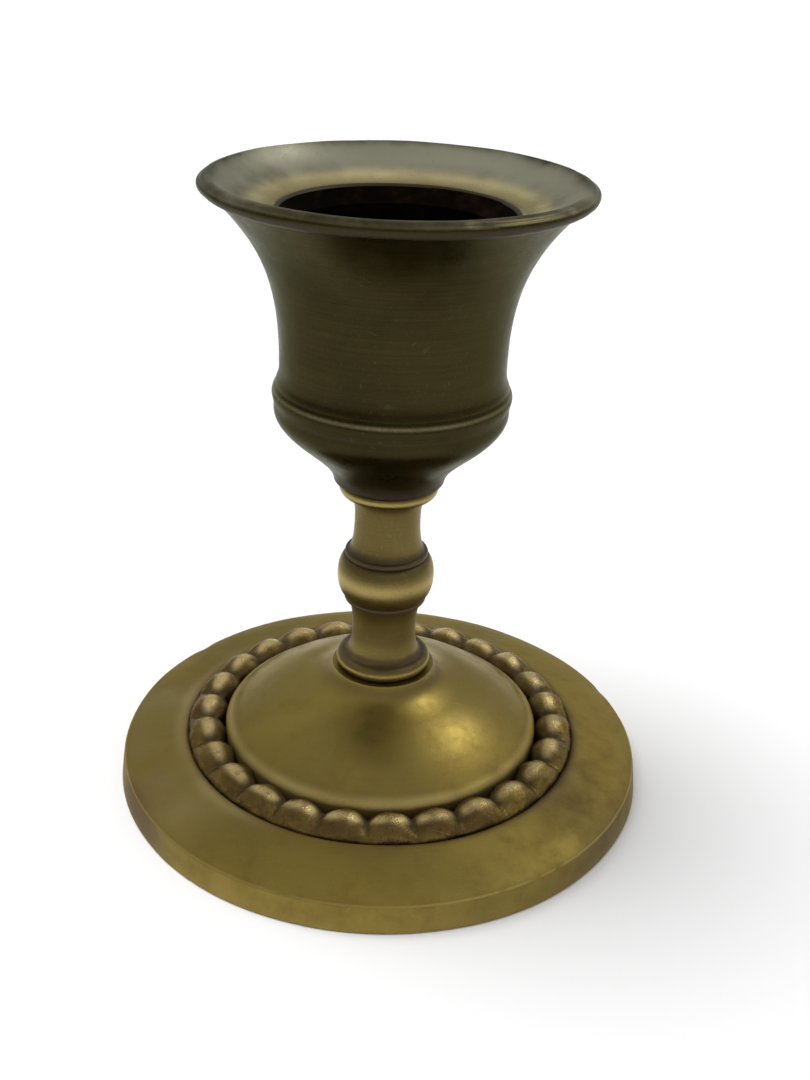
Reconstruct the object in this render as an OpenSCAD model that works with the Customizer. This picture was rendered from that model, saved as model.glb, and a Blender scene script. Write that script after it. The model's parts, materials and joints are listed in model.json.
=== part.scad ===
// Small turned brass candlestick: beaded foot, short stem and flared candle cup,
// drawn together by one threaded rod and a nut hidden in the foot.
// Millimetres, +Z up. The origin is on the axis, at the face the foot rests on.

/* [Foot] */
// Diameter of the foot where it rests
foot_d = 55.2; // [46:0.2:70]
// Height of the upright band round the foot's edge
band_h = 2.9; // [2:0.1:4]
// How far the band leans in from its bottom to its top
band_lean = 0.3; // [0:0.05:0.8]
// Round-over where the band meets the sloping flange
band_round = 0.35; // [0.1:0.05:0.8]
// Height of the flange's inner lip above the resting face
lip_z = 4.7; // [4.5:0.1:6]
// How full the flange is between its edge and its inner lip
flange_swell = 0.2; // [0:0.05:0.5]
// Width of the round-over on the flange's inner lip
lip_round = 0.6; // [0.3:0.1:0.8]
// Width of the rim that touches the table
foot_rim_w = 2.6; // [1.5:0.1:4]
// Depth of the shallow recess under the foot
recess_depth = 1.5; // [0.5:0.1:2]

/* [Beading] */
// Radius of the ring that the bead centres lie on
bead_ring_r = 18.5; // [15.5:0.1:22.6]
// Radius of one bead
bead_r = 1.85; // [1.5:0.05:2.3]
// Space left between neighbouring beads
bead_gap = 0.66; // [0.3:0.02:1.2]
// Turn of the first bead from the +X axis, in degrees
bead_turn = 9; // [0:0.5:13]
// Space between a bead and each wall of its channel
channel_gap = 0.1; // [0.08:0.02:0.5]
// Height of the channel floor at its inner side
channel_z = 3.6; // [3.2:0.1:3.9]
// Height of the bead centres above that floor
bead_lift = 0.95; // [0.5:0.05:1.2]
// Height of the metal between the beads above that floor
saddle_lift = 1.2; // [0.6:0.1:1.4]

/* [Dome] */
// Height of the dome's rounded outer edge
dome_edge_z = 6; // [5.6:0.1:7.5]
// Round-over on the dome's outer edge
dome_round = 0.7; // [0.4:0.1:1.3]
// Radius of the neck that the stem stands on
neck_r = 5.3; // [4.6:0.1:6.5]
// Height of the neck above the resting face
neck_z = 12.4; // [11:0.1:15]

/* [Stem] */
// Length of the stem between the foot and the cup
stem_len = 21; // [14:0.5:45]
// Radius of the collar at each end of the stem
collar_r = 4.9; // [4.4:0.1:6]
// Height of each end collar
collar_h = 1.5; // [1:0.1:2.5]
// Radius of the stem at its two waists
waist_r = 3.3; // [2.8:0.1:4]
// Radius of the knop in the middle of the stem
knop_r = 4.9; // [4.4:0.1:6.5]
// Height of the knop
knop_h = 4.4; // [3:0.1:6]
// Radius of the fillet on each side of the knop
fillet_r = 4; // [3.9:0.1:4.3]
// Height of that fillet
fillet_h = 0.6; // [0.4:0.1:1]
// Radius of the locating spigot at each end of the stem
spigot_r = 3.6; // [3.3:0.05:4]
// Length of each locating spigot
spigot_len = 1.2; // [0.8:0.1:1.6]

/* [Candle cup] */
// Height of the cup from its foot to the top of its rim
cup_h = 29.4; // [25:0.1:36]
// Diameter over the rim
rim_d = 36; // [30:0.1:43]
// Radius of the cup's narrowest wall, outside
cup_waist_r = 10.8; // [10.75:0.05:13]
// Radius of the foot of the cup
cup_foot_r = 5.45; // [4.8:0.05:6.5]
// Height of the bowl-shaped underside
bowl_h = 7.6; // [7.2:0.1:9]
// Height of the raised ring above the cup's foot
ring_up = 9.2; // [8.8:0.1:11]
// How far the raised ring stands proud of the wall
ring_proud = 0.4; // [0.2:0.05:1]
// Depth of the flare below the rim's edge
flare_h = 16; // [10:0.5:17]
// Radius of the socket that holds the candle
socket_r = 9.65; // [7.5:0.05:9.7]
// Depth of the dished lip from the rim to the mouth of the socket
dish_depth = 3.1; // [1.5:0.1:4]
// Radius at the mouth of the socket
mouth_r = 10.8; // [9.9:0.05:11.5]
// Depth over which the mouth narrows to the socket
mouth_taper_h = 1.5; // [0.8:0.1:2.5]
// Thickness of the solid floor between the socket and the cup's foot
cup_floor_h = 7.2; // [6.6:0.1:9]

/* [Fixings] */
// Radius of the threaded rod
rod_r = 2; // [1.5:0.1:2.2]
// How far the rod screws up into the cup
rod_in_cup = 5; // [3:0.1:5.2]
// Thickness of the nut
nut_h = 3.2; // [2.4:0.1:4]
// Distance across the nut's flats
nut_flats = 7; // [6:0.1:8.5]
// Thickness of the washer
washer_h = 0.8; // [0.5:0.1:1.2]
// Radius of the washer
washer_r = 4.5; // [4:0.1:5.5]
// Length of rod that shows past the nut
rod_past_nut = 0.9; // [0.3:0.1:1.2]

/* [Clearances] */
// Round a thread that is screwed home
thread_clearance = 0.05; // [0.03:0.01:0.1]
// Round the rod where it passes through
pass_clearance = 0.2; // [0.1:0.05:0.4]
// Round and beyond each locating spigot
spigot_clearance = 0.1; // [0.05:0.01:0.2]
// Round the washer in its pocket
pocket_clearance = 2.6; // [0.8:0.1:3]

/* [Hidden] */
$fn = 96;
tiny = 0.01;
foot_r = foot_d / 2;
rim_r = rim_d / 2;

// the channel is as wide as its beads, and as many beads fit round it as leave the gap
channel_half_w = bead_r + channel_gap;
channel_in_r = bead_ring_r - channel_half_w;
channel_out_r = bead_ring_r + channel_half_w;
bead_count = floor(2 * PI * bead_ring_r / (2 * bead_r + bead_gap));
channel_out_z = lip_z - lip_round - 0.1;

// heights up the axis
cup_z = neck_z + stem_len;
rim_z = cup_z + cup_h;
socket_floor_z = cup_z + cup_floor_h;
mouth_z = rim_z - dish_depth;
socket_top_z = mouth_z - mouth_taper_h;

// the pocket leaves the rod's end clear of the table, above the shallow recess
pocket_z = recess_depth + rod_past_nut + nut_h + washer_h;
pocket_r = washer_r + pocket_clearance;
rod_bottom_z = recess_depth;
rod_top_z = cup_z + rod_in_cup;

// points on a smooth curve from a to c that leaves a towards b and arrives from b
function bend(a, b, c, steps = 6) = [
    for (i = [0:steps])
        let (t = i / steps)
        (1 - t) * (1 - t) * a + 2 * t * (1 - t) * b + t * t * c
];

// points on a half-round that stands out from radius r, from height z0 up to z1
function half_round(r, z0, z1, proud, steps = 10) = [
    for (i = [0:steps])
        let (a = -90 + 180 * i / steps)
        [r + proud * cos(a), (z0 + z1) / 2 + (z1 - z0) / 2 * sin(a)]
];

// a solid turned about the axis from its outline, closed along the axis
module turned(outline, bottom_z, top_z) {
    rotate_extrude()
        polygon(concat([[0, bottom_z]], outline, [[0, top_z]]));
}

// a round hole up the axis
module axial_hole(r, z0, z1) {
    translate([0, 0, z0])
        cylinder(r = r, h = z1 - z0);
}

// ---- foot -----------------------------------------------------------------

function foot_outline() =
    let (
        edge_r = foot_r - band_lean,
        flange_in_r = channel_out_r + lip_round,
        dome_in_r = channel_in_r - dome_round,
        fillet_r = neck_r + 3.4,
        fillet_z = neck_z - 2.3
    )
    concat(
        [[foot_r, 0]],
        bend([edge_r, band_h - band_round], [edge_r, band_h], [edge_r - band_round, band_h + band_round / 3], 4),
        // flange, slightly full
        bend([edge_r - band_round, band_h + band_round / 3],
            [(edge_r + flange_in_r) / 2, (band_h + lip_z) / 2 + 2 * flange_swell], [flange_in_r, lip_z], 6),
        bend([flange_in_r, lip_z], [channel_out_r, lip_z], [channel_out_r, lip_z - lip_round], 5),
        // channel floor, raised between the beads
        [
            [channel_out_r, channel_out_z],
            [bead_ring_r + 0.5, channel_z + saddle_lift],
            [bead_ring_r - 0.3, channel_z + saddle_lift],
            [channel_in_r + 0.5, channel_z],
            [channel_in_r, channel_z]
        ],
        bend([channel_in_r, dome_edge_z - dome_round],
            [channel_in_r, dome_edge_z - dome_round / 4], [dome_in_r, dome_edge_z + dome_round / 4], 5),
        // full dome, then a hollow sweep up to the neck
        bend([dome_in_r, dome_edge_z + dome_round / 4],
            [(dome_in_r + fillet_r) / 2, fillet_z - 1.1], [fillet_r, fillet_z], 8),
        bend([fillet_r, fillet_z], [neck_r + 0.3, neck_z - 1.3], [neck_r, neck_z], 6)
    );

module beading() {
    for (i = [0:bead_count - 1])
        rotate([0, 0, bead_turn + i * 360 / bead_count])
            translate([bead_ring_r, 0, channel_z + bead_lift])
                sphere(r = bead_r);
}

module base() {
    color("darkgoldenrod")
        difference() {
            union() {
                turned(foot_outline(), 0, neck_z);
                beading();
            }
            axial_hole(foot_r - foot_rim_w, -1, recess_depth);
            axial_hole(pocket_r, 0, pocket_z);
            axial_hole(rod_r + pass_clearance, 0, neck_z + 1);
            axial_hole(spigot_r + spigot_clearance, neck_z - spigot_len - spigot_clearance, neck_z + 1);
        }
}

// ---- stem -----------------------------------------------------------------

// a collar with a half-round edge, then a hollow waist up to the knop
function stem_half() =
    let (
        waist_z = collar_h + 0.3 * (stem_len / 2 - collar_h),
        fillet_z = (stem_len - knop_h) / 2 - fillet_h
    )
    concat(
        half_round(collar_r - collar_h / 2, 0, collar_h, collar_h / 2, 8),
        bend([fillet_r, collar_h], [waist_r, collar_h + 0.2], [waist_r, waist_z], 6),
        bend([waist_r, waist_z], [waist_r, fillet_z - 0.6], [fillet_r - 0.1, fillet_z], 6),
        half_round(fillet_r, fillet_z, fillet_z + fillet_h, 0.2, 4)
    );

function flipped(outline) = [
    for (i = [len(outline) - 1:-1:0])
        [outline[i][0], stem_len - outline[i][1]]
];

module stem() {
    color("goldenrod")
        translate([0, 0, neck_z])
            difference() {
                union() {
                    turned(
                        concat(
                            stem_half(),
                            half_round(fillet_r, (stem_len - knop_h) / 2, (stem_len + knop_h) / 2,
                                knop_r - fillet_r, 14),
                            flipped(stem_half())
                        ),
                        0, stem_len
                    );
                    axial_hole(spigot_r, -spigot_len, stem_len + spigot_len);
                }
                axial_hole(rod_r + pass_clearance, -spigot_len - 1, stem_len + spigot_len + 1);
            }
}

// ---- candle cup -----------------------------------------------------------

function ease(t) = t * t * (3 - 2 * t);

// heights here are above the cup's own foot
function cup_outline() =
    let (
        wall_r = cup_waist_r + 0.3,
        ring_h = 2.2,
        edge_h = 1,
        flare_top = cup_h - edge_h - 0.65,
        flare_out_r = rim_r - 1.4,
        mouth_up = cup_h - dish_depth
    )
    concat(
        // bowl-shaped underside
        [for (i = [0:12]) [cup_foot_r + (wall_r - cup_foot_r) * ease(i / 12), bowl_h * i / 12]],
        // raised ring, swelling out of the wall and sinking back into it
        [for (i = [0:10]) let (s = i / 5 - 1)
            [wall_r + ring_proud * (1 + cos(180 * s)) / 2, ring_up + s * ring_h / 2]],
        // flare, slow at first and fast below the rim
        [for (i = [0:16])
            let (t = i / 16)
            [cup_waist_r + (flare_out_r - cup_waist_r) * pow(t, 2.8), flare_top - flare_h * (1 - t)]],
        // stepped underside of the rim, then its rounded edge
        bend([flare_out_r, flare_top], [rim_r - 0.5, flare_top + 0.1], [rim_r - 0.3, cup_h - edge_h], 4),
        bend([rim_r - 0.15, cup_h - edge_h], [rim_r + 0.25, cup_h - edge_h / 2], [rim_r - 0.4, cup_h - 0.35], 5),
        bend([rim_r - 0.4, cup_h - 0.35], [rim_r - 0.6, cup_h], [rim_r - 1.1, cup_h], 4),
        // dished lip down to the mouth
        bend([rim_r - 1.1, cup_h], [(rim_r + mouth_r) / 2, mouth_up + 0.6], [mouth_r, mouth_up], 8)
    );

module candle_cup() {
    color("darkkhaki")
        difference() {
            translate([0, 0, cup_z])
                turned(cup_outline(), 0, cup_h - dish_depth);
            // socket, with its mouth eased for the candle
            axial_hole(socket_r, socket_floor_z, mouth_z + 1);
            translate([0, 0, socket_top_z])
                cylinder(r1 = socket_r, r2 = mouth_r + tiny, h = mouth_taper_h + tiny);
            axial_hole(spigot_r + spigot_clearance, cup_z - 1, cup_z + spigot_len + spigot_clearance);
            axial_hole(rod_r + thread_clearance, cup_z - 1, rod_top_z + 0.3);
        }
}

// ---- fixings --------------------------------------------------------------

module tie_rod() {
    color("gray")
        axial_hole(rod_r, rod_bottom_z, rod_top_z);
}

module washer() {
    color("lightgray")
        difference() {
            axial_hole(washer_r, pocket_z - washer_h, pocket_z);
            axial_hole(rod_r + pass_clearance, 0, pocket_z + 1);
        }
}

module hex_nut() {
    nut_z = pocket_z - washer_h - nut_h;
    color("silver")
        difference() {
            translate([0, 0, nut_z])
                cylinder(d = nut_flats / cos(30), h = nut_h, $fn = 6);
            axial_hole(rod_r + thread_clearance, 0, pocket_z);
        }
}

candle_cup();
stem();
base();
tie_rod();
washer();
hex_nut();
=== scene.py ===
# Old brass candlestick: beaded foot, short turned stem and a flared candle cup
import json
import math
import bmesh
import bpy
from mathutils import Matrix, Vector, noise


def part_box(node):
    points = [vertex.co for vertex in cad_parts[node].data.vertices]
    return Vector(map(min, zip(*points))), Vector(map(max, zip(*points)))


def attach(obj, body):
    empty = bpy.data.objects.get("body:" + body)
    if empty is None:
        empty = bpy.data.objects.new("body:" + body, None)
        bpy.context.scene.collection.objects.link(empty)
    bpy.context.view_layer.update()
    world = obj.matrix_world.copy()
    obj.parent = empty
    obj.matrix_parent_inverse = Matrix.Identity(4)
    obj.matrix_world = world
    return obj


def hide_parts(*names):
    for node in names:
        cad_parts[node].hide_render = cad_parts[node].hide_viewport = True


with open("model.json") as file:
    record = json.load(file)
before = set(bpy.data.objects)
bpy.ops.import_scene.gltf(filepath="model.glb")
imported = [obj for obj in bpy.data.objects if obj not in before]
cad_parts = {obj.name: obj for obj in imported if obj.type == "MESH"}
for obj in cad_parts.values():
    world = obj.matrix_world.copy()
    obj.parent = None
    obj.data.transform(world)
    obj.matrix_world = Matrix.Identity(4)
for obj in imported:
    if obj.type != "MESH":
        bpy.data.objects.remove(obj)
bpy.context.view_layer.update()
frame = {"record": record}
mm = 0.001  # outlines are drawn in millimetres, meshes are in metres


def spanOf(nodeName):  # lowest and highest z and the largest radius of a CAD node, in millimetres
    low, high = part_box(nodeName)
    return low.z / mm, high.z / mm, high.x / mm


# outlines are lists of (radius, height) in millimetres
def bend(a, b, c, steps=8):  # smooth curve from a to c, pulled towards b
    points = []
    for i in range(steps + 1):
        t = i / steps
        points.append(tuple((1 - t) ** 2 * p + 2 * t * (1 - t) * q + t * t * s for p, q, s in zip(a, b, c)))
    return points


def halfRound(r, z0, z1, proud, steps=16):  # half-round standing out from radius r
    mid, half = (z0 + z1) / 2, (z1 - z0) / 2
    angles = [math.pi * (i / steps - 0.5) for i in range(steps + 1)]
    return [(r + proud * math.cos(a), mid + half * math.sin(a)) for a in angles]


def straight(a, b, steps):
    return [tuple(p + (q - p) * i / steps for p, q in zip(a, b)) for i in range(steps + 1)]


def softCorner(before, corner, after, size, steps=4):  # a corner rounded over size on both sides
    def towards(other):
        reach = size / math.dist(corner, other)
        return tuple(c + (o - c) * reach for c, o in zip(corner, other))
    return bend(towards(before), corner, towards(after), steps)


def turnedPiece(name, outline, around=192, ringShape=False):
    kept = [outline[0]]
    for point in outline[1:]:
        if math.dist(point, kept[-1]) > 0.01:
            kept.append(point)
    verts, rows, faces = [], [], []
    for r, z in kept:
        count = 1 if r < 1e-6 else around
        rows.append(range(len(verts), len(verts) + count))
        for i in range(count):
            a = 2 * math.pi * i / around
            verts.append((r * mm * math.cos(a), r * mm * math.sin(a), z * mm))
    pairs = list(zip(rows, rows[1:]))
    if ringShape:
        pairs.append((rows[-1], rows[0]))
    for low, high in pairs:
        for i in range(around):
            j = (i + 1) % around
            corners = [low[i % len(low)], low[j % len(low)], high[j % len(high)], high[i % len(high)]]
            faces.append(list(dict.fromkeys(corners)))
    return meshPiece(name, verts, faces)


def addToScene(thing):
    bpy.context.scene.collection.objects.link(thing)
    return thing


def pointOutwards(mesh):
    work = bmesh.new()
    work.from_mesh(mesh)
    bmesh.ops.recalc_face_normals(work, faces=work.faces)
    work.to_mesh(mesh)
    work.free()


def meshPiece(name, verts, faces, sharpAngle=35):
    mesh = bpy.data.meshes.new(name)
    mesh.from_pydata(verts, [], faces)
    pointOutwards(mesh)
    mesh.shade_smooth()
    mesh.set_sharp_from_angle(angle=math.radians(sharpAngle))
    return addToScene(bpy.data.objects.new(name, mesh))


def unevenSurface(piece, depth, size, seed):  # low unevenness, as on hand-finished metal
    shift = Vector((seed * 7.3, seed * 3.1, seed * 5.7))
    normals = [v.normal.copy() for v in piece.data.vertices]
    for v, n in zip(piece.data.vertices, normals):
        v.co += n * (noise.noise(v.co / (size * mm) + shift) * depth * mm)


# nicks are (angle, width, depth) along one turned edge
def nickEdge(piece, nicks, edgeRadius, edgeHeight, reach=0.45, farthest=1.5, sink=0.6):
    for v in piece.data.vertices:
        r, z = math.hypot(v.co.x, v.co.y) / mm, v.co.z / mm
        away = math.hypot(r - edgeRadius, z - edgeHeight)
        if away > farthest:
            continue
        angle = math.degrees(math.atan2(v.co.y, v.co.x))
        for at, width, depth in nicks:
            along = math.radians((angle - at + 180) % 360 - 180) * edgeRadius
            dent = depth * math.exp(-(along / width) ** 2 - (away / reach) ** 2)
            v.co.x *= 1 - dent / edgeRadius
            v.co.y *= 1 - dent / edgeRadius
            v.co.z -= sink * dent * mm


# zones are (radius, height, reach, strength) and go all the way round
def markZones(piece, label, zones, everywhere=0.0, upOnly=False):
    values = []
    for v in piece.data.vertices:
        r, z = math.hypot(v.co.x, v.co.y) / mm, v.co.z / mm
        level = everywhere
        for zoneRadius, zoneHeight, reach, strength in zones:
            level += strength * math.exp(-((r - zoneRadius) ** 2 + (z - zoneHeight) ** 2) / reach ** 2)
        facing = max(0.0, min(1.0, 3 * v.normal.z)) if upOnly else 1.0
        values.append(max(0.0, min(1.0, level * facing)))
    layer = piece.data.attributes.new(label, "FLOAT", "POINT")
    layer.data.foreach_set("value", values)


# stains are (angle, radius, height, reach, strength), patches on one side of the piece
def addStains(piece, label, stains):
    layer = piece.data.attributes[label]
    spots = []
    for angle, radius, height, reach, strength in stains:
        turn = math.radians(angle)
        spots.append((Vector((radius * math.cos(turn), radius * math.sin(turn), height)), reach, strength))
    for v, item in zip(piece.data.vertices, layer.data):
        added = sum(strength * math.exp(-((v.co / mm - at).length / reach) ** 2)
                    for at, reach, strength in spots)
        item.value = max(0.0, min(1.0, item.value + added))


def addNode(tree, kind, inputs=None, **settings):
    made = tree.nodes.new(kind)
    for key, value in settings.items():
        setattr(made, key, value)
    for key, value in (inputs or {}).items():
        if isinstance(value, bpy.types.NodeSocket):
            tree.links.new(value, made.inputs[key])
        else:
            made.inputs[key].default_value = value
    return made


def noiseAt(tree, where, scale, detail=4.0, roughness=0.55, distortion=0.0):
    made = addNode(tree, "ShaderNodeTexNoise",
                   {"Vector": where, "Scale": scale, "Detail": detail, "Roughness": roughness,
                    "Distortion": distortion})
    return made.outputs["Fac"]


def remap(tree, value, low, high, toLow=0.0, toHigh=1.0):
    made = addNode(tree, "ShaderNodeMapRange",
                   {"Value": value, "From Min": low, "From Max": high, "To Min": toLow, "To Max": toHigh},
                   interpolation_type="SMOOTHSTEP")
    return made.outputs["Result"]


def combine(tree, operation, a, b):
    return addNode(tree, "ShaderNodeMath", {0: a, 1: b}, operation=operation).outputs[0]


def mixColour(tree, amount, a, b, blend="MIX"):
    made = addNode(tree, "ShaderNodeMix", data_type="RGBA", blend_type=blend)
    for index, value in ((0, amount), (6, a), (7, b)):
        if isinstance(value, bpy.types.NodeSocket):
            tree.links.new(value, made.inputs[index])
        else:
            made.inputs[index].default_value = value if index == 0 else (*value, 1.0)
    return made.outputs[2]


def newFinish(name):  # a material, its tree and shader, and the place on the piece in millimetres
    made = bpy.data.materials.new(name)
    made.use_nodes = True
    tree = made.node_tree
    place = addNode(tree, "ShaderNodeTexCoord").outputs["Object"]
    inMm = addNode(tree, "ShaderNodeVectorMath", {0: place, "Scale": 1 / mm}, operation="SCALE").outputs[0]
    return made, tree, tree.nodes["Principled BSDF"], inMm


def raiseSurface(tree, shader, height, distance):
    bump = addNode(tree, "ShaderNodeBump", {"Height": height, "Strength": 1.0, "Distance": distance})
    tree.links.new(bump.outputs[0], shader.inputs["Normal"])


brassSurface = {  # what every brass finish shares; pairs are where a pattern starts and is full
    "speckleScale": 4.5, "driftScale": 0.12, "drift": 1.2, "pits": (0.66, 0.74),
    "hairs": (0.7, 0.76), "hairStretch": (0.3, 9.0, 0.8), "hairTurns": ((0.6, 3.0), (-0.9, 11.0)),
    "dirtAndShade": (0.15, 0.8), "rubbedAndHighlight": (0.1, 0.95), "rubbedEverywhere": 0.15,
    "rubbedSpeckle": 0.6, "rubbedClouds": 1.1,
    "filmAndSheen": (0.15, 1.0), "filmEdge": (0.0, 0.3), "filmPatch": 0.9,
    "cloudBlend": (0.35, 0.65), "mottleBlend": (0.48, 0.72), "speckleBlend": (0.55, 0.75),
    "lineBlend": (0.35, 0.7),
    "roughBlend": (0.3, 0.7), "dirtRough": 0.14, "filmRough": 0.08, "dullRough": 0.26, "rubbedSmooth": 0.06,
    "dirtMetal": 0.5, "filmMetal": 0.6,
}


def agedBrass(name, look):
    common = brassSurface
    made, tree, shader, inMm = newFinish(name)
    shifted = addNode(tree, "ShaderNodeVectorMath", {0: inMm, 1: look["shift"]}, operation="ADD").outputs[0]
    split = addNode(tree, "ShaderNodeSeparateXYZ", {0: inMm})
    level = {"X": split.outputs["X"], "Y": split.outputs["Y"]}
    flat = addNode(tree, "ShaderNodeCombineXYZ", level).outputs[0]
    radius = addNode(tree, "ShaderNodeVectorMath", {0: flat}, operation="LENGTH").outputs["Value"]

    clouds = noiseAt(tree, shifted, look["cloudScale"], 3.0, 0.5, 0.4)
    mottle = noiseAt(tree, shifted, look["mottleScale"], 8.0, 0.68, 0.2)
    speckle = noiseAt(tree, shifted, common["speckleScale"], 6.0, 0.7)
    grain = noiseAt(tree, shifted, look["grainScale"], 5.0, 0.65)
    pits = remap(tree, noiseAt(tree, shifted, look["pitScale"], 2.0, 0.5), *common["pits"])

    # turning lines run round the axis, so they follow radius and height with a little drift
    drift = combine(tree, "MULTIPLY", noiseAt(tree, shifted, common["driftScale"], 2.0), common["drift"])
    alongR = combine(tree, "ADD", combine(tree, "MULTIPLY", radius, look["lineScale"]), drift)
    alongZ = combine(tree, "MULTIPLY", split.outputs["Z"], look["lineScale"])
    lineSpace = addNode(tree, "ShaderNodeCombineXYZ", {"X": alongR, "Y": alongZ}).outputs[0]
    turning = noiseAt(tree, lineSpace, 1.0, 5.0, 0.75)

    # hairline scratches in two directions
    scratches = None
    for turn, seedShift in common["hairTurns"]:
        laid = addNode(tree, "ShaderNodeMapping",
                       {"Vector": inMm, "Rotation": (turn, 0.4 * turn, 2.1 * turn),
                        "Location": (seedShift, 0, seedShift), "Scale": common["hairStretch"]}).outputs[0]
        hair = remap(tree, noiseAt(tree, laid, 1.0, 2.0, 0.4), *common["hairs"])
        scratches = hair if scratches is None else combine(tree, "MAXIMUM", scratches, hair)

    grimeAndShade, wearAndHighlight, film, dull = [addNode(tree, "ShaderNodeAttribute", attribute_name=label).outputs["Fac"]
                               for label in ("grimeAndShade", "wearAndHighlight", "film", "dull")]
    unevenness = combine(tree, "MULTIPLY", combine(tree, "SUBTRACT", mottle, 0.5), look["patchiness"])
    # the dark mask carries tarnish and dirt, and also painted shade from the stains on the foot's band and
    # flange
    dirtAndShade = remap(tree, combine(tree, "ADD", grimeAndShade, unevenness), *common["dirtAndShade"])
    patchy = combine(tree, "ADD", combine(tree, "MULTIPLY", speckle, common["rubbedSpeckle"]),
                     combine(tree, "MULTIPLY", clouds, common["rubbedClouds"]))
    patchy = combine(tree, "ADD", patchy, common["rubbedEverywhere"])
    # the bright mask carries rubbed brass, and also painted highlights on the cup's ring, the foot's edges
    # and the bead crowns
    rubbedAndHighlight = remap(tree, combine(tree, "MULTIPLY", wearAndHighlight, patchy), *common["rubbedAndHighlight"])
    # the pale mask carries dust, and also painted reflections under the cup's rim and on the left of the
    # foot's flange
    filmPatch = combine(tree, "MULTIPLY", combine(tree, "SUBTRACT", clouds, 0.5), common["filmPatch"])
    filmAndSheen = combine(tree, "ADD", film, combine(tree, "ADD", unevenness, filmPatch))
    filmAndSheen = remap(tree, filmAndSheen, *common["filmAndSheen"])
    filmAndSheen = combine(tree, "MULTIPLY", filmAndSheen, remap(tree, film, *common["filmEdge"]))

    colour = mixColour(tree, remap(tree, clouds, *common["cloudBlend"]), look["body"], look["shade"])
    for pattern, blend, amount, tint in (
            (mottle, "mottleBlend", "mottleAmount", "stain"),
            (speckle, "speckleBlend", "speckleAmount", "bright"),
            (turning, "lineBlend", "lineColour", "bright")):
        share = remap(tree, pattern, *common[blend], 0.0, look[amount])
        colour = mixColour(tree, share, colour, look[tint])
    colour = mixColour(tree, filmAndSheen, colour, look["film"])
    colour = mixColour(tree, dirtAndShade, colour, look["tarnishAndShade"])
    for pattern, amount, tint in (
            (pits, "pitAmount", "tarnishAndShade"), (scratches, "scratchAmount", "bright"),
            (rubbedAndHighlight, "wearAmount", "bright")):
        share = combine(tree, "MULTIPLY", pattern, look[amount])
        colour = mixColour(tree, share, colour, look[tint])
    tree.links.new(colour, shader.inputs["Base Color"])

    rough = remap(tree, mottle, *common["roughBlend"], *look["roughness"])
    for operation, pattern, amount in (("ADD", dirtAndShade, "dirtRough"), ("ADD", filmAndSheen, "filmRough"),
                                       ("ADD", dull, "dullRough"), ("SUBTRACT", rubbedAndHighlight, "rubbedSmooth")):
        rough = combine(tree, operation, rough, combine(tree, "MULTIPLY", pattern, common[amount]))
    tree.links.new(rough, shader.inputs["Roughness"])
    metal = remap(tree, dirtAndShade, 0.0, 1.0, look["metallic"], look["metallic"] * common["dirtMetal"])
    metal = combine(tree, "MULTIPLY", metal, remap(tree, filmAndSheen, 0.0, 1.0, 1.0, common["filmMetal"]))
    tree.links.new(metal, shader.inputs["Metallic"])
    shader.inputs["Specular Tint"].default_value = (*look["edgeTint"], 1.0)

    height = combine(tree, "MULTIPLY", grain, look["grainDepth"])
    for operation, pattern, depth in (
            ("ADD", turning, "lineDepth"), ("ADD", mottle, "mottleDepth"),
            ("SUBTRACT", scratches, "scratchDepth"), ("SUBTRACT", pits, "pitDepth")):
        height = combine(tree, operation, height, combine(tree, "MULTIPLY", pattern, look[depth]))
    raiseSurface(tree, shader, height, mm)
    return made


# a near-black finish for the inside of the socket
nearBlack = {"scale": 0.5, "dark": (0.0025, 0.0015, 0.0008), "light": (0.010, 0.006, 0.003),
        "colourBlend": (0.45, 0.75), "roughBlend": (0.3, 0.7), "roughness": (0.75, 0.95),
        "gloss": 0.02, "depth": 0.05}


def nearBlackMetal(name):
    made, tree, shader, inMm = newFinish(name)
    patches = noiseAt(tree, inMm, nearBlack["scale"], 6.0, 0.65)
    colour = mixColour(tree, remap(tree, patches, *nearBlack["colourBlend"]), nearBlack["dark"], nearBlack["light"])
    tree.links.new(colour, shader.inputs["Base Color"])
    rough = remap(tree, patches, *nearBlack["roughBlend"], *nearBlack["roughness"])
    tree.links.new(rough, shader.inputs["Roughness"])
    shader.inputs["Specular IOR Level"].default_value = nearBlack["gloss"]
    raiseSurface(tree, shader, patches, nearBlack["depth"] * mm)
    return made


steel = {"tint": (0.42, 0.41, 0.39), "roughness": 0.34, "rougher": 0.2, "filmScale": 0.8,
         "filmBlend": (0.35, 0.7), "filmShade": 0.55, "rustScale": 2.2, "rustBlend": (0.6, 0.75),
         "rustAmount": 0.7, "rust": (0.16, 0.085, 0.04), "roughBlend": (0.3, 0.7),
         "metallic": 0.9, "fineScale": 9.0, "depth": 0.006}


def wornSteel(name):
    made, tree, shader, inMm = newFinish(name)
    film = noiseAt(tree, inMm, steel["filmScale"], 6.0, 0.65)
    fine = noiseAt(tree, inMm, steel["fineScale"], 4.0, 0.6)
    spots = noiseAt(tree, inMm, steel["rustScale"], 5.0, 0.7)
    darker = tuple(steel["filmShade"] * c for c in steel["tint"])
    colour = mixColour(tree, remap(tree, film, *steel["filmBlend"]), steel["tint"], darker)
    rusty = remap(tree, spots, *steel["rustBlend"], 0.0, steel["rustAmount"])
    colour = mixColour(tree, rusty, colour, steel["rust"])
    tree.links.new(colour, shader.inputs["Base Color"])
    low = steel["roughness"]
    rough = remap(tree, film, *steel["roughBlend"], low, low + steel["rougher"])
    tree.links.new(rough, shader.inputs["Roughness"])
    shader.inputs["Metallic"].default_value = steel["metallic"]
    raiseSurface(tree, shader, fine, steel["depth"] * mm)
    return made


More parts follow.
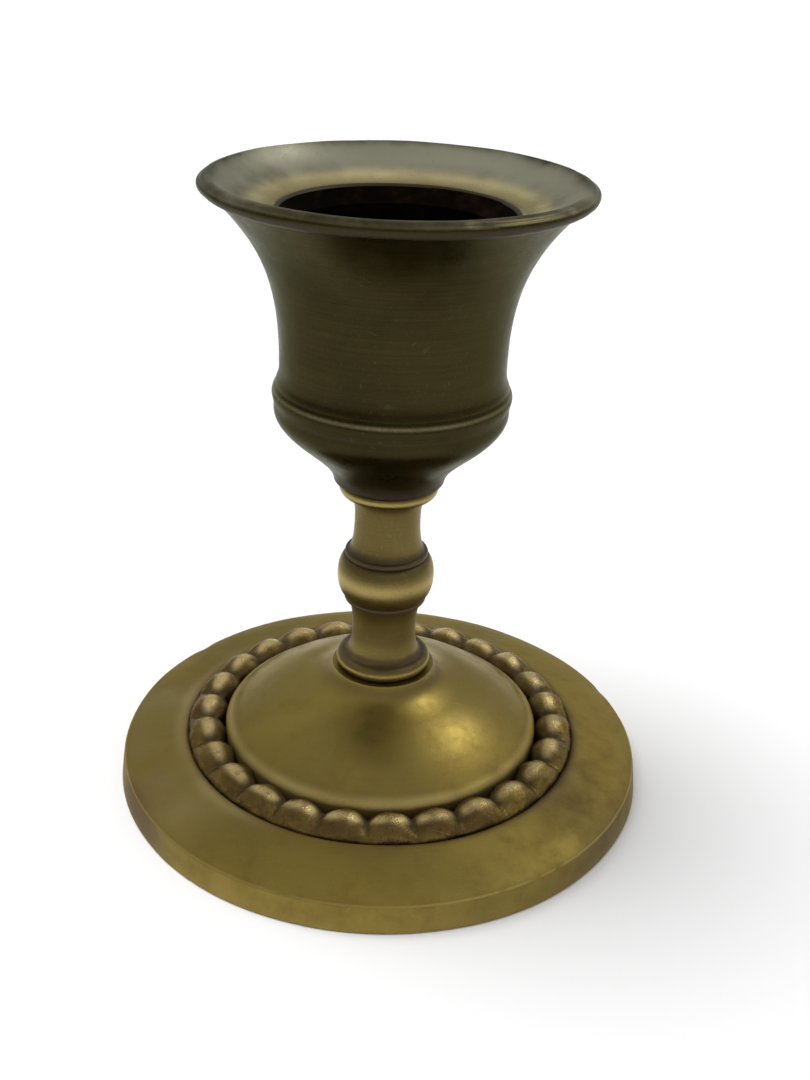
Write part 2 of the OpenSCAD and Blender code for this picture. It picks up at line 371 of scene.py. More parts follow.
cupLook = {
    "shift": (31.0, 7.0, 3.0), "cloudScale": 0.09, "mottleScale": 0.35, "grainScale": 7.0, "lineScale": 5.0,
    "pitScale": 2.6,
    "body": (0.034, 0.027, 0.0085), "shade": (0.023, 0.019, 0.0065), "stain": (0.040, 0.026, 0.009),
    "bright": (0.60, 0.50, 0.25), "tarnishAndShade": (0.030, 0.019, 0.008), "film": (0.245, 0.238, 0.170),
    "mottleAmount": 0.5, "speckleAmount": 0.04, "lineColour": 0.015, "pitAmount": 0.2,
    "scratchAmount": 0.03, "wearAmount": 0.75, "roughness": (0.26, 0.38), "metallic": 0.96,
    "grainDepth": 0.006, "lineDepth": 0.0008, "mottleDepth": 0.012, "scratchDepth": 0.001, "pitDepth": 0.004,
    "edgeTint": (0.66, 0.67, 0.59), "patchiness": 0.6,
}
footLook = {
    "shift": (3.0, 19.0, 11.0), "cloudScale": 0.055, "mottleScale": 0.3, "grainScale": 6.0, "lineScale": 4.0,
    "pitScale": 2.1,
    "body": (0.300, 0.222, 0.051), "shade": (0.235, 0.178, 0.046), "stain": (0.255, 0.165, 0.040),
    "bright": (0.62, 0.475, 0.17), "tarnishAndShade": (0.120, 0.076, 0.026), "film": (0.44, 0.37, 0.195),
    "mottleAmount": 0.55, "speckleAmount": 0.14, "lineColour": 0.03, "pitAmount": 0.14,
    "scratchAmount": 0.12, "wearAmount": 0.8, "roughness": (0.30, 0.42), "metallic": 0.94,
    "grainDepth": 0.008, "lineDepth": 0.0012, "mottleDepth": 0.008, "scratchDepth": 0.002, "pitDepth": 0.003,
    "edgeTint": (0.95, 0.92, 0.80), "patchiness": 0.32,
}
beadLook = dict(
    footLook, shift=(17.0, 2.0, 29.0), cloudScale=0.33, mottleScale=1.1, grainScale=3.2,
    body=(0.20, 0.135, 0.034), shade=(0.125, 0.080, 0.026), stain=(0.105, 0.066, 0.028),
    tarnishAndShade=(0.048, 0.030, 0.010), bright=(0.72, 0.55, 0.24), mottleAmount=0.8, lineColour=0.0, lineDepth=0.0,
    mottleDepth=0.13, grainDepth=0.035, patchiness=1.0, pitAmount=0.3, pitDepth=0.03, roughness=(0.24, 0.38))
stemLook = dict(
    footLook, shift=(41.0, 5.0, 23.0), body=(0.185, 0.138, 0.042), shade=(0.125, 0.094, 0.030),
    stain=(0.150, 0.100, 0.032), tarnishAndShade=(0.075, 0.048, 0.018), patchiness=0.7)
beadBrass = agedBrass("beadBrass", beadLook)
cupBrass = agedBrass("cupBrass", cupLook)
footBrass = agedBrass("footBrass", footLook)
stemBrass = agedBrass("stemBrass", stemLook)
socketBlack = nearBlackMetal("socketBlack")
fixingSteel = wornSteel("fixingSteel")
print("finishes ready")


cup = {
    "footRadius": 5.45, "bowlHeight": 7.6, "bowlExtra": 0.22, "waistRadius": 10.8, "wallExtra": 0.3,
    "ringUp": 9.2, "ringHeight": 2.2, "ringProud": 0.4, "flareHeight": 16.0, "flarePower": 2.8,
    "flareInset": 1.4, "edgeHeight": 1.0, "stepHeight": 0.65, "mouthRadius": 10.8,
    "mouthTaper": 1.5, "dishDepth": 3.1,
    "spigotHole": (3.7, 1.3), "rodHole": (2.05, 5.3), "uneven": (0.05, 6.0, 1),
    "nicks": [(-70, 0.9, 0.12), (-38, 0.5, 0.1), (15, 0.7, 0.08), (104, 1.1, 0.1), (212, 0.6, 0.12)],
}


def cupOutline():
    low, high, outer = spanOf("candle_cup")
    wall = cup["waistRadius"] + cup["wallExtra"]
    flareTop = high - cup["edgeHeight"] - cup["stepHeight"]
    flareOut = outer - cup["flareInset"]
    mouthHeight = high - cup["dishDepth"]
    socketTop = mouthHeight - cup["mouthTaper"]
    socketRadius, socketDepth = socketMount["dims"]["r_mm"], socketMount["dims"]["length_mm"]
    floor = socketTop - socketDepth
    spigotRadius, spigotDepth = cup["spigotHole"]
    rodRadius, rodDepth = cup["rodHole"]
    points = [(0, low + rodDepth), (rodRadius, low + rodDepth), (rodRadius, low + spigotDepth),
              (spigotRadius, low + spigotDepth), (spigotRadius, low)]
    points += softCorner((spigotRadius, low), (cup["footRadius"], low), (cup["footRadius"], low + 1), 0.25)
    for i in range(1, 33):
        t = i / 32
        ease = t * t * (3 - 2 * t)
        bowlRadius = cup["footRadius"] + (wall + cup["bowlExtra"] - cup["footRadius"]) * ease
        points.append((bowlRadius, low + cup["bowlHeight"] * t))
    for i in range(25):  # the ring swells out of the wall and sinks back into it
        s = i / 12 - 1
        rest = cup["bowlExtra"] if s < 0 else 0.0
        points.append((wall + rest + (cup["ringProud"] - rest) * (1 + math.cos(math.pi * s)) / 2,
                       low + cup["ringUp"] + s * cup["ringHeight"] / 2))
    flareLow = flareTop - cup["flareHeight"]
    points += bend(points[-1], (cup["waistRadius"], low + cup["ringUp"] + cup["ringHeight"] / 2 + 0.6),
                   (cup["waistRadius"], flareLow), 6)
    for i in range(49):
        t = i / 48
        points.append((cup["waistRadius"] + (flareOut - cup["waistRadius"]) * t ** cup["flarePower"],
                       flareTop - cup["flareHeight"] * (1 - t)))
    edge = high - cup["edgeHeight"]
    points += bend((flareOut, flareTop), (outer - 0.45, flareTop + 0.1), (outer - 0.3, edge), 8)
    points += bend((outer - 0.15, edge), (outer + 0.12, edge + 0.5), (outer - 0.35, high - 0.35), 8)
    points += bend((outer - 0.35, high - 0.35), (outer - 0.6, high), (outer - 1.1, high), 8)
    mouth = cup["mouthRadius"]
    dishEnd, mouthStart = (mouth + 0.2, mouthHeight + 0.08), (mouth - 0.12, mouthHeight - 0.25)
    points += bend((outer - 1.1, high), ((outer + mouth) / 2, mouthHeight + 0.6), dishEnd, 24)
    points += bend(dishEnd, (mouth, mouthHeight), mouthStart, 6)
    points += straight(mouthStart, (socketRadius, socketTop), 5)
    points += straight((socketRadius, socketTop), (socketRadius, floor + 0.4), 16)
    points += bend((socketRadius, floor + 0.4), (socketRadius, floor), (socketRadius - 0.4, floor), 4)
    points += [(6, floor), (3, floor), (0, floor)]
    return points


socketMount = [m for m in frame["record"]["mounts"] if m["name"] == "candle_socket"][0]
candleCup = turnedPiece("candleCup", cupOutline())
unevenSurface(candleCup, *cup["uneven"])
cupLow, cupHigh, cupRadius = spanOf("candle_cup")
nickEdge(candleCup, cup["nicks"], cupRadius - 0.4, cupHigh - 0.3)
ringAt = cupLow + cup["ringUp"]
markZones(candleCup, "grimeAndShade", [
    (cup["waistRadius"] + 0.5, ringAt - 1.1, 0.5, 0.45), (cup["footRadius"], cupLow, 1.2, 0.6),
    (cupRadius - 0.5, cupHigh - 1.25, 0.35, 0.8), (cupRadius, cupHigh - 1.05, 0.3, 0.8),
    (cup["mouthRadius"] + 0.05, cupHigh - 3.1, 0.55, 1.0),
    (cup["footRadius"] + 1.5, cupLow + 1, 2.5, 0.5)])
# the line on the ring's upper side is a painted highlight; the rim's edge and the dish round the mouth are
# rubbed, and the mouth's own edge gets none
markZones(candleCup, "wearAndHighlight", [
    (cup["waistRadius"] + 0.6, ringAt + 0.45, 0.27, 0.5), (cupRadius - 0.25, cupHigh - 0.3, 0.4, 0.3),
    (cupRadius - 0.9, cupHigh, 0.3, 0.2), (cup["mouthRadius"] + 1.4, cupHigh - 2.8, 1.9, 0.95),
    (cup["mouthRadius"], cupHigh - 3.1, 0.45, -0.9)])
markZones(candleCup, "film", [
    (cupRadius - 2.2, cupHigh - 0.9, 1.9, 0.9), (cupRadius - 4.8, cupHigh - 2.2, 1.9, 0.6)], upOnly=True)
addStains(candleCup, "film", [(-4, 15.5, cupHigh - 1, 4.5, -0.3), (150, 14.5, cupHigh - 1, 3.0, -0.2)])
# painted reflection: pale patches on the outside of the flare under the rim at the right, standing in for its
# bright grazing reflection
addStains(candleCup, "film", [(-14, 16.0, cupHigh - 3.2, 2.8, 0.75), (-30, 12.6, cupHigh - 8, 3.4, 0.2)])
candleCup.data.materials.append(cupBrass)
candleCup.data.materials.append(socketBlack)
mouthHeight = cupHigh - cup["dishDepth"]
for face in candleCup.data.polygons:  # the inside of the socket is drawn near-black
    faceRadius, faceHeight = math.hypot(face.center.x, face.center.y) / mm, face.center.z / mm
    inMouth = faceHeight > mouthHeight - cup["mouthTaper"] - 0.1
    limit = cup["mouthRadius"] - 0.02 if inMouth else socketMount["dims"]["r_mm"] + 0.3
    if faceRadius < limit and cupLow + 6 < faceHeight < mouthHeight:
        face.material_index = 1
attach(candleCup, "root")
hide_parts("candle_cup")
print("cup turned")


stem = {
    "collarRadius": 4.9, "collarHeight": 1.5, "waistRadius": 3.3, "knopRadius": 4.9, "knopHeight": 4.4,
    "filletRadius": 4.0, "filletHeight": 0.6, "spigotRadius": 3.6, "spigotLength": 1.2, "boreRadius": 2.2,
    "uneven": (0.03, 4.0, 2),
}


def stemOutline():
    low, high, _ = spanOf("stem")
    low, high = low + stem["spigotLength"], high - stem["spigotLength"]
    length = high - low
    collar, waist, fillet = stem["collarHeight"], stem["waistRadius"], stem["filletRadius"]
    waistUp = collar + 0.3 * (length / 2 - collar)
    filletUp = (length - stem["knopHeight"]) / 2 - stem["filletHeight"]
    half = halfRound(stem["collarRadius"] - collar / 2, 0, collar, collar / 2, 14)
    half += bend((fillet, collar), (waist, collar + 0.2), (waist, waistUp), 12)
    half += bend((waist, waistUp), (waist, filletUp - 0.6), (fillet - 0.1, filletUp), 12)
    half += halfRound(fillet, filletUp, filletUp + stem["filletHeight"], 0.2, 8)
    knopLow = (length - stem["knopHeight"]) / 2
    knop = halfRound(fillet, knopLow, knopLow + stem["knopHeight"], stem["knopRadius"] - fillet, 24)
    mirrored = [(r, length - z) for r, z in reversed(half)]
    bore, spigot, reach = stem["boreRadius"], stem["spigotRadius"], stem["spigotLength"]
    outside = [(bore, -reach), (spigot, -reach), (spigot, 0), *half, *knop, *mirrored,
               (spigot, length), (spigot, length + reach), (bore, length + reach)]
    return [(r, z + low) for r, z in outside]


stemPillar = turnedPiece("stemPillar", stemOutline(), around=128, ringShape=True)
unevenSurface(stemPillar, *stem["uneven"])
stemLow, stemHigh, _ = spanOf("stem")
stemMid = (stemLow + stemHigh) / 2
stemEdge = stem["knopHeight"] / 2 + stem["filletHeight"]
markZones(stemPillar, "grimeAndShade", [
    (stem["filletRadius"], stemMid - 2.2, 0.45, 0.9), (stem["filletRadius"], stemMid + 2.2, 0.45, 0.9),
    (stem["filletRadius"] - 0.3, stemMid - stemEdge, 0.7, 0.8),
    (stem["filletRadius"] - 0.3, stemMid + stemEdge, 0.7, 0.8),
    (4.1, stemLow + 2.8, 0.7, 0.8), (4.1, stemHigh - 2.8, 0.7, 0.8),
    (stem["collarRadius"], stemLow + 1.2, 0.5, 0.9)])
markZones(stemPillar, "wearAndHighlight", [
    (stem["knopRadius"], stemMid, 1.1, 0.5), (stem["collarRadius"], stemLow + 2.0, 0.4, 0.5),
    (stem["collarRadius"], stemHigh - 2.0, 0.4, 0.5)])
stemPillar.data.materials.append(stemBrass)
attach(stemPillar, "root")
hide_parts("stem")
print("stem turned")


foot = {
    "bandHeight": 2.9, "bandLean": 0.3, "bandRound": 0.35, "lipHeight": 4.7, "lipRound": 0.6, "swell": 0.2,
    "ringRadius": 18.5, "beadRadius": 1.85, "beadCount": 26, "beadTurn": 9.0, "beadLift": 0.95,
    "valley": 0.38, "pinch": 0.45, "beadWidth": 1.08, "channelGap": 0.1, "channelHeight": 3.6,
    "saddleLift": 0.5, "domeEdge": 6.0, "domeRound": 0.7, "neckRadius": 5.3, "rimWidth": 2.6, "recess": 1.5,
    "pocket": (7.1, 6.4), "spigotHole": (3.7, 1.3), "boreRadius": 2.2, "uneven": (0.07, 9.0, 3),
    "nicks": [(-52, 0.5, 0.12), (-58, 0.8, 0.1), (-66, 0.4, 0.08), (20, 0.7, 0.1), (140, 1.0, 0.12),
              (250, 0.6, 0.1)],
    # painted shade: the stains at 205 and -8 degrees darken the band on the left and right, the one at -34
    # the flange at the front right; the one at 118 is a darker patch on the flange at the back
    "shadeAndGrimeStains": [(-34, 25.5, 3.5, 7.5, 0.36), (-8, 27.5, 2.5, 5.0, 0.15), (205, 28.5, 0.2, 6.0, 0.75),
                    (118, 23.5, 4.0, 4.0, 0.15)],
    # painted reflection: pale patches that make the left of the flange lighter, as where it mirrors a bright
    # sky
    "paintedLightStains": [(216, 24.4, 4.4, 7.0, 0.5), (192, 24.4, 4.4, 6.5, 0.3), (168, 24.4, 4.4, 6.5, 0.3)],
}
channelIn = foot["ringRadius"] - foot["beadRadius"] - foot["channelGap"]
channelOut = foot["ringRadius"] + foot["beadRadius"] + foot["channelGap"]


def footOutline():
    low, high, outer = spanOf("base")
    top = outer - foot["bandLean"]
    floor, band, lip = foot["channelHeight"], foot["bandHeight"], foot["lipHeight"]
    flangeIn, flangeOut = channelOut + foot["lipRound"], top - foot["bandRound"]
    domeIn, domeEdge, roundOver = channelIn - foot["domeRound"], foot["domeEdge"], foot["domeRound"]
    filletRadius, filletHeight = foot["neckRadius"] + 3.4, high - 2.3
    pocketRadius, pocketTop = foot["pocket"]
    rimIn = outer - foot["rimWidth"]
    points = straight((foot["boreRadius"], pocketTop), (pocketRadius, pocketTop), 5)
    points += [(pocketRadius, foot["recess"] + 0.2)]
    points += straight((pocketRadius + 0.2, foot["recess"]), (rimIn - 0.3, foot["recess"]), 10)
    points += bend((rimIn - 0.3, foot["recess"]), (rimIn, foot["recess"]), (rimIn, foot["recess"] - 0.3), 4)
    points += bend((rimIn, low + 0.2), (rimIn, low), (rimIn + 0.2, low), 4)
    points += softCorner((rimIn, low), (outer, low), (outer, low + 1), 0.2)
    points += bend((top, band - foot["bandRound"]), (top, band), (flangeOut, band + foot["bandRound"] / 3), 6)
    points += bend((flangeOut, band + foot["bandRound"] / 3),
                   ((top + flangeIn) / 2, (band + lip) / 2 + 2 * foot["swell"]), (flangeIn, lip), 20)
    points += bend((flangeIn, lip), (channelOut, lip), (channelOut, lip - foot["lipRound"]), 10)
    saddle, ring = floor + foot["saddleLift"], foot["ringRadius"]
    lipLow = lip - foot["lipRound"]
    points += bend((channelOut, lipLow), (channelOut - 0.15, lipLow - 0.3), (channelOut - 0.6, lipLow), 6)
    points += bend((channelOut - 0.6, lipLow), (ring + 0.6, saddle + 0.1), (ring + 0.1, saddle), 6)
    points += bend((ring + 0.1, saddle), (ring - 0.7, saddle - 0.1), (channelIn + 0.6, floor), 8)
    points += softCorner((channelIn + 0.6, floor), (channelIn, floor), (channelIn, domeEdge), 0.3)
    points += bend((channelIn, domeEdge - roundOver), (channelIn, domeEdge - roundOver / 4),
                   (domeIn, domeEdge + roundOver / 4), 10)
    points += bend((domeIn, domeEdge + roundOver / 4), ((domeIn + filletRadius) / 2, filletHeight - 1.1),
                   (filletRadius, filletHeight), 24)
    points += bend((filletRadius, filletHeight), (foot["neckRadius"] + 0.3, high - 1.3),
                   (foot["neckRadius"], high), 14)
    spigotRadius, spigotDepth = foot["spigotHole"]
    spigotFloor = high - spigotDepth
    points += [(spigotRadius, high), (spigotRadius, spigotFloor), (foot["boreRadius"], spigotFloor)]
    return points


castFoot = turnedPiece("castFoot", footOutline(), around=256, ringShape=True)
unevenSurface(castFoot, *foot["uneven"])
footLow, footHigh, footRadius = spanOf("base")
for v in castFoot.data.vertices:  # the resting face stays flat
    v.co.z = max(v.co.z, footLow * mm)
nickEdge(castFoot, foot["nicks"], footRadius - 0.4, foot["bandHeight"])
markZones(castFoot, "grimeAndShade", [
    (channelIn + 0.3, foot["channelHeight"] + 0.2, 0.9, 1.0),
    (foot["ringRadius"], foot["channelHeight"] + 1, 1.7, 0.75),
    (channelOut + 0.1, foot["lipHeight"] - 0.4, 0.6, 0.35), (footRadius, 1.3, 1.6, 0.45),
    (foot["neckRadius"] + 0.5, footHigh - 0.6, 1.0, 0.4),
    (9, 0.5, 10.0, 0.5), (20, 0.5, 4.0, 0.4)])
addStains(castFoot, "grimeAndShade", foot["shadeAndGrimeStains"])
# the band's top edge is rubbed and also carries a painted highlight line; the bright roll at the dome's edge
# is a painted reflection; the bottom edge is rubbed
markZones(castFoot, "wearAndHighlight", [
    (footRadius - 0.4, foot["bandHeight"], 0.15, 0.55),
    (channelIn - 0.3, foot["domeEdge"] - 0.1, 0.9, 0.55),
    (footRadius, footLow, 0.3, 0.5)])
markZones(castFoot, "film", [
    (channelIn - 0.5, foot["domeEdge"] + 0.1, 1.0, 0.35), (channelOut + 0.8, foot["lipHeight"], 0.8, 0.2)])
addStains(castFoot, "film", foot["paintedLightStains"])
markZones(castFoot, "dull", [(24, 4, 3.4, 1.0), (footRadius, 1.5, 2, 0.6), (16.0, 5.7, 0.9, 0.9)])
castFoot.data.materials.append(footBrass)
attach(castFoot, "root")
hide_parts("base")
print("foot turned")


beading = {"stepsAlong": 22, "stepsAround": 33, "crownPower": 0.9, "lowest": 0.92, "lumpScale": 0.62,
           "lumps": 0.5, "seed": 4, "joinWithin": 0.00001}


def beadTree(material):  # one closed ring whose section swells into a bead at every step round it
    tree = bpy.data.node_groups.new("beadRing", "GeometryNodeTree")
    face = tree.interface
    for label, kind in (
            ("Geometry", "Geometry"), ("Ring Radius", "Float"), ("Count", "Int"), ("Bead Radius", "Float"),
            ("Turn", "Float"), ("Height", "Float"), ("Valley", "Float"), ("Pinch", "Float"),
            ("Width", "Float"), ("Unevenness", "Float"), ("Seed", "Int")):
        face.new_socket(label, in_out="INPUT", socket_type="NodeSocket" + kind)
    face.new_socket("Geometry", in_out="OUTPUT", socket_type="NodeSocketGeometry")
    given = tree.nodes.new("NodeGroupInput").outputs
    fullTurn = 2 * math.pi

    def do(operation, a, b=0.0):
        return addNode(tree, "ShaderNodeMath", {0: a, 1: b}, operation=operation).outputs[0]

    steps = do("ADD", do("MULTIPLY", given["Count"], beading["stepsAlong"]), 1)
    sheet = addNode(tree, "GeometryNodeMeshGrid", {"Size X": 1.0, "Size Y": 1.0, "Vertices X": steps,
                                                   "Vertices Y": beading["stepsAround"]})
    position = addNode(tree, "GeometryNodeInputPosition").outputs[0]
    parts = addNode(tree, "ShaderNodeSeparateXYZ", {0: position}).outputs
    along = do("ADD", parts["X"], 0.5)
    around = do("MULTIPLY", do("ADD", parts["Y"], 0.5), fullTurn)

    # how far along its bead each point lies: 1 on the crown, 0 in the valley
    beadAt = do("MULTIPLY", along, given["Count"])
    number = do("FLOOR", beadAt)
    offset = do("MULTIPLY", do("SUBTRACT", do("SUBTRACT", beadAt, number), 0.5), math.pi)
    crown = do("POWER", do("MAXIMUM", do("COSINE", offset), 0.0), beading["crownPower"])
    dip = do("SUBTRACT", 1.0, crown)
    chance = addNode(tree, "FunctionNodeRandomValue", {"ID": number, "Seed": given["Seed"]},
                     data_type="FLOAT")
    chance.inputs[2].default_value, chance.inputs[3].default_value = beading["lowest"], 1.0
    swell = do("MULTIPLY", crown, do("SUBTRACT", 1.0, given["Valley"]))
    vary = do("MULTIPLY", crown, do("SUBTRACT", chance.outputs[1], 1.0))
    tall = do("MULTIPLY", do("ADD", given["Valley"], swell), do("ADD", 1.0, vary))
    inward = do("MAXIMUM", do("MULTIPLY", do("COSINE", around), -1.0), 0.0)
    wide = do("SUBTRACT", 1.0, do("MULTIPLY", do("MULTIPLY", given["Pinch"], inward), dip))
    wide = do("MULTIPLY", wide, given["Width"])
    reachOut = do("MULTIPLY", do("MULTIPLY", do("COSINE", around), given["Bead Radius"]), wide)
    reachUp = do("MULTIPLY", do("MULTIPLY", do("SINE", around), given["Bead Radius"]), tall)
    halfBead = do("DIVIDE", 0.5, given["Count"])
    angle = do("ADD", do("MULTIPLY", do("SUBTRACT", along, halfBead), fullTurn), given["Turn"])
    radius = do("ADD", given["Ring Radius"], reachOut)
    place = addNode(tree, "ShaderNodeCombineXYZ", {
        "X": do("MULTIPLY", radius, do("COSINE", angle)), "Y": do("MULTIPLY", radius, do("SINE", angle)),
        "Z": do("ADD", given["Height"], reachUp)}).outputs[0]
    bent = addNode(tree, "GeometryNodeSetPosition", {"Geometry": sheet.outputs["Mesh"], "Position": place})
    joined = addNode(tree, "GeometryNodeMergeByDistance", {"Geometry": bent.outputs[0],
                                                           "Distance": beading["joinWithin"]})

    lumps = addNode(tree, "ShaderNodeTexNoise", {"Scale": beading["lumpScale"] / mm, "Detail": 3.0})
    reach = do("MULTIPLY", do("SUBTRACT", lumps.outputs["Fac"], 0.5), given["Unevenness"])
    normal = addNode(tree, "GeometryNodeInputNormal").outputs[0]
    push = addNode(tree, "ShaderNodeVectorMath", {0: normal, "Scale": reach}, operation="SCALE").outputs[0]
    shaped = addNode(tree, "GeometryNodeSetPosition", {"Geometry": joined.outputs[0], "Offset": push})
    smooth = addNode(tree, "GeometryNodeSetShadeSmooth", {"Geometry": shaped.outputs[0]})
    solid = addNode(tree, "GeometryNodeRealizeInstances", {0: smooth.outputs[0]})
    painted = addNode(tree, "GeometryNodeSetMaterial", {"Geometry": solid.outputs[0], "Material": material})
    out = tree.nodes.new("NodeGroupOutput")
    tree.links.new(painted.outputs[0], out.inputs[0])
    return tree


def grown(name, tree, values):  # the tree's result as a plain mesh
    holder = addToScene(bpy.data.objects.new(name + "Source", bpy.data.meshes.new(name + "Source")))
    modifier = holder.modifiers.new("grow", "NODES")
    modifier.node_group = tree
    for item in tree.interface.items_tree:
        if item.in_out == "INPUT" and item.name in values:
            modifier[item.identifier] = values[item.name]
    evaluated = holder.evaluated_get(bpy.context.evaluated_depsgraph_get())
    mesh = bpy.data.meshes.new_from_object(evaluated)
    mesh.name = name
    pointOutwards(mesh)
    piece = addToScene(bpy.data.objects.new(name, mesh))
    holder.modifiers.clear()
    bpy.data.objects.remove(holder)
    return piece


beadHeight = foot["channelHeight"] + foot["beadLift"]
beads = grown("beadRing", beadTree(beadBrass), {
    "Ring Radius": foot["ringRadius"] * mm, "Count": foot["beadCount"],
    "Bead Radius": foot["beadRadius"] * mm,
    "Turn": math.radians(foot["beadTurn"]), "Height": beadHeight * mm, "Valley": foot["valley"],
    "Pinch": foot["pinch"], "Width": foot["beadWidth"],
    "Unevenness": beading["lumps"] * mm, "Seed": beading["seed"]})
beadTop = beadHeight + foot["beadRadius"]
markZones(beads, "grimeAndShade", [
    (channelIn, foot["channelHeight"] + 0.8, 1.3, 0.9), (channelOut, foot["channelHeight"] + 0.5, 0.8, 0.3),
    (foot["ringRadius"], beadHeight + foot["valley"] * foot["beadRadius"], 0.75, 0.8)], 0.15)
# rubbed bead crowns, made bright enough to serve also as painted highlights
markZones(beads, "wearAndHighlight", [(foot["ringRadius"], beadTop, 0.8, 1.0)])
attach(beads, "root")
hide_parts("base")
print("beads set:", foot["beadCount"])


fixing = {"pitch": 0.7, "threadDepth": 0.32, "rowsPerTurn": 8, "around": 32, "nutFlats": 7.0,
          "nutCrown": 0.98, "nutBore": 2.05, "nutLead": 0.35, "chamferAngle": 30, "washerBore": 2.2}


def threadedRod():
    low, high, outer = spanOf("tie_rod")
    pitch, depth, around = fixing["pitch"], fixing["threadDepth"], fixing["around"]
    rows = int((high - low) / pitch * fixing["rowsPerTurn"])
    verts, faces = [(0, 0, low * mm)], []
    for k in range(rows + 1):
        z = low + (high - low) * k / rows
        ends = min(1.0, (z - low) / 0.5, (high - z) / 0.5)
        for i in range(around):
            a = 2 * math.pi * i / around
            phase = (z / pitch - i / around) % 1
            groove = depth * min(1.0, 1.25 * abs(2 * phase - 1))
            r = min(outer - groove * min(1.0, ends + 0.2), outer - 0.4 * (1 - ends))
            verts.append((r * mm * math.cos(a), r * mm * math.sin(a), z * mm))
    verts.append((0, 0, high * mm))
    last = len(verts) - 1
    for i in range(around):
        j = (i + 1) % around
        faces.append((0, 1 + j, 1 + i))
        for k in range(rows):
            a, b = 1 + k * around, 1 + (k + 1) * around
            faces.append((a + i, a + j, b + j, b + i))
        faces.append((last, last - around + i, last - around + j))
    return meshPiece("threadedRod", verts, faces, 50)


def chamferedNut():
    low, high, _ = spanOf("hex_nut")
    flat, around = fixing["nutFlats"] / 2, 144
    crown = flat * fixing["nutCrown"]  # radius where the chamfer starts
    bore, lead = fixing["nutBore"], fixing["nutLead"]
    verts, faces = [], []

    def ring(radiusAt, heightAt):
        start = len(verts)
        for i in range(around):
            a = 2 * math.pi * i / around
            r = radiusAt(a)
            verts.append((r * mm * math.cos(a), r * mm * math.sin(a), heightAt(r) * mm))
        return start

    def hexRadius(a):
        return flat / math.cos((a + math.pi / 6) % (math.pi / 3) - math.pi / 6)

    def slope(face, sign):
        return lambda r: face + sign * max(0.0, (r - crown)) * math.tan(math.radians(fixing["chamferAngle"]))

    starts = [
        ring(lambda a: bore, lambda r: low + lead), ring(lambda a: bore + lead, lambda r: low),
        ring(lambda a: crown, lambda r: low), ring(hexRadius, slope(low, 1)),
        ring(hexRadius, slope(high, -1)), ring(lambda a: crown, lambda r: high),
        ring(lambda a: bore + lead, lambda r: high), ring(lambda a: bore, lambda r: high - lead)]
    for s, t in zip(starts, starts[1:] + starts[:1]):
        for i in range(around):
            j = (i + 1) % around
            faces.append((s + i, s + j, t + j, t + i))
    return meshPiece("chamferedNut", verts, faces, 25)


def stampedWasher():
    low, high, outer = spanOf("washer")
    bore = fixing["washerBore"]
    points = [*softCorner((outer, low), (bore, low), (bore, high), 0.1),
              *softCorner((bore, low), (bore, high), (outer, high), 0.1),
              *softCorner((bore, high), (outer, high), (outer, low), 0.25),
              *softCorner((outer, high), (outer, low), (bore, low), 0.12)]
    return turnedPiece("stampedWasher", points, around=96, ringShape=True)


for piece, node in ((threadedRod(), "tie_rod"), (chamferedNut(), "hex_nut"), (stampedWasher(), "washer")):
    piece.data.materials.append(fixingSteel)
    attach(piece, "root")
    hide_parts(node)
print("fixings made")


studio = {
    "floorSize": 8.0, "floorLevel": -0.02, "floorTone": (0.84, 0.84, 0.84), "floorRoughness": 0.9,
    "zenith": 0.55, "horizon": 0.5, "zenithUp": 0.8, "leftShade": 0.3, "leftX": -0.95, "leftY": -0.3,
    "leftBlend": (0.35, 0.8), "sunStrength": 2.7, "sunAngle": 38, "sunDirection": (0.35, -0.15, -1.0),
}


def makeFloor():
    half = studio["floorSize"] / 2
    mesh = bpy.data.meshes.new("floor")
    level = studio["floorLevel"] * mm
    corners = [(-half, -half, level), (half, -half, level), (half, half, level), (-half, half, level)]
    mesh.from_pydata(corners, [], [(0, 1, 2, 3)])
    floor = addToScene(bpy.data.objects.new("floor", mesh))
    paper = bpy.data.materials.new("paper")
    paper.use_nodes = True
    shader = paper.node_tree.nodes["Principled BSDF"]
    shader.inputs["Base Color"].default_value = (*studio["floorTone"], 1)
    shader.inputs["Roughness"].default_value = studio["floorRoughness"]
    mesh.materials.append(paper)


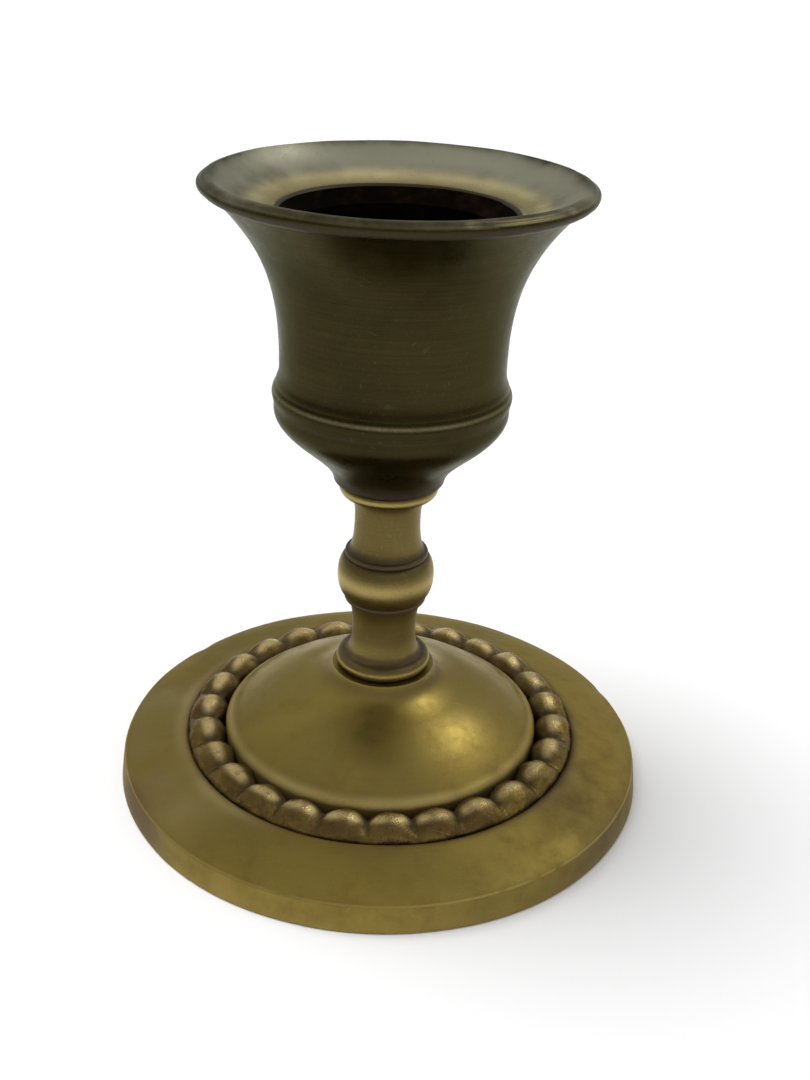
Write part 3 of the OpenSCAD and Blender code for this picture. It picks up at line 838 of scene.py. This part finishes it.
def makeSky():  # even, and dimmer low on the left
    world = bpy.data.worlds.new("studio")
    bpy.context.scene.world = world
    world.use_nodes = True
    tree = world.node_tree
    where = addNode(tree, "ShaderNodeTexCoord").outputs["Generated"]
    parts = addNode(tree, "ShaderNodeSeparateXYZ", {0: where}).outputs
    level = remap(tree, parts["Z"], 0.0, studio["zenithUp"], studio["horizon"], studio["zenith"])
    left = combine(tree, "ADD", combine(tree, "MULTIPLY", parts["X"], studio["leftX"]),
                   combine(tree, "MULTIPLY", parts["Y"], studio["leftY"]))
    shade = remap(tree, left, *studio["leftBlend"], 1.0, 1.0 - studio["leftShade"])
    seen = addNode(tree, "ShaderNodeLightPath").outputs["Is Camera Ray"]
    light = combine(tree, "MULTIPLY", level, shade)
    backdrop = combine(tree, "MAXIMUM", light, seen)  # plain white where it is looked at directly
    tree.links.new(backdrop, tree.nodes["Background"].inputs["Color"])


def makeSun():  # a wide, soft key that lights the whole floor evenly
    data = bpy.data.lights.new("key", "SUN")
    data.energy = studio["sunStrength"]
    data.angle = math.radians(studio["sunAngle"])
    lamp = bpy.data.objects.new("key", data)
    lamp.rotation_euler = Vector(studio["sunDirection"]).to_track_quat("-Z", "Y").to_euler()
    lamp.visible_glossy = False
    addToScene(lamp)


def softLight(name, place, size, watts, target=(0, 0, 0.03)):  # seen only in reflections
    data = bpy.data.lights.new(name, "AREA")
    data.shape = "RECTANGLE"
    data.size, data.size_y = size
    data.energy = watts
    lamp = bpy.data.objects.new(name, data)
    lamp.location = place
    lamp.rotation_euler = (Vector(target) - Vector(place)).to_track_quat("-Z", "Y").to_euler()
    lamp.visible_diffuse = False
    addToScene(lamp)


makeFloor()
makeSky()
makeSun()
softLight("ceiling", (0.40, 0.23, 0.62), (0.24, 0.24), 0.8)

cameraSetup = {"place": (-3.986, -121.42, 87.36), "pan": -2.74, "tilt": 26.56, "roll": 2.38, "lens": 44.87,
               "sensor": 36, "clip": (0.01, 20)}


def makeCamera():
    data = bpy.data.cameras.new("camera")
    data.lens = cameraSetup["lens"]
    data.sensor_width = cameraSetup["sensor"]
    camera = bpy.data.objects.new("camera", data)
    pan = Matrix.Rotation(math.radians(cameraSetup["pan"]), 4, "Z")
    tilt = Matrix.Rotation(math.radians(90 - cameraSetup["tilt"]), 4, "X")
    roll = Matrix.Rotation(math.radians(cameraSetup["roll"]), 4, "Z")
    place = Matrix.Translation(Vector(cameraSetup["place"]) * mm)
    camera.matrix_world = place @ pan @ tilt @ roll
    data.clip_start, data.clip_end = cameraSetup["clip"]
    bpy.context.scene.camera = addToScene(camera)


makeCamera()
bpy.context.scene.view_settings.view_transform = "Standard"
print("studio ready")
